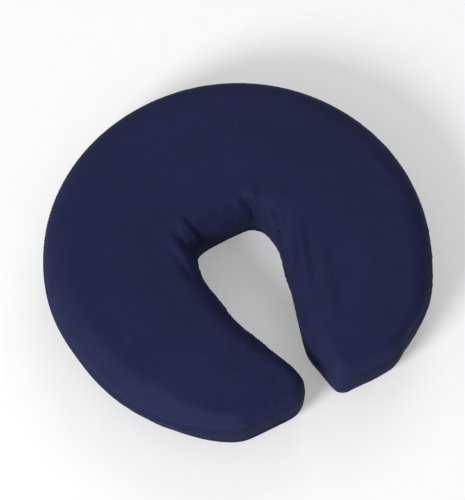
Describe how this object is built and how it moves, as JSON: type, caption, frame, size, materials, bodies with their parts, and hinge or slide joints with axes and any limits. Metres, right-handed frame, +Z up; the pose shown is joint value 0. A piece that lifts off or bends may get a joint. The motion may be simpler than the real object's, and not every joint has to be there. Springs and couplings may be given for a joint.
{
  "type": "face cradle cushion",
  "caption": "Horseshoe face cradle cushion for a massage table, with a fitted fabric cover, vinyl upholstery, layered foam and loop strips underneath.",
  "frame": {"origin": "centre of the footprint, on the surface that the cushion rests on", "axes": "+Z up, +Y towards the closed crown, -Y towards the chin gap, +X to the right seen from above with the crown away from the viewer"},
  "size_m": [0.32, 0.3034, 0.06],
  "materials": {
    "cover_fabric": "brushed navy microfibre knit, matt with a faint sheen",
    "cover_thread": "navy polyester sewing thread",
    "elastic": "undyed braided elastic",
    "vinyl": "fine-grain upholstery vinyl, low satin gloss",
    "vinyl_thread": "bonded sewing thread",
    "comfort_foam": "slow-recovery polyurethane foam",
    "support_foam": "firm polyurethane foam",
    "loop_tape": "woven nylon tape with brushed loop pile"
  },
  "bodies": {
    "cushion": {"comfort_foam": "comfort_foam", "crown_loop_strip": "loop_tape", "left_loop_strip": "loop_tape", "right_loop_strip": "loop_tape", "support_foam": "support_foam", "vinyl_bottom_seam_thread": "vinyl_thread", "vinyl_inner_band": "vinyl", "vinyl_outer_band": "vinyl", "vinyl_top_panel": "vinyl", "vinyl_top_seam_thread": "vinyl_thread", "vinyl_underside_panel": "vinyl"},
    "fitted_cover": {"cover_hem": "cover_fabric", "cover_inner_band": "cover_fabric", "cover_outer_band": "cover_fabric", "cover_seam_thread": "cover_thread", "cover_top_panel": "cover_fabric", "hem_elastic": "elastic", "hem_thread": "cover_thread"}
  },
  "joints": [
    {"name": "cover_lift", "type": "slide", "parent": "cushion", "child": "fitted_cover", "axis": [0, 0, 1], "range_m": [0, 0.09], "deforming": ["cover_hem", "hem_elastic", "hem_thread"]}
  ]
}
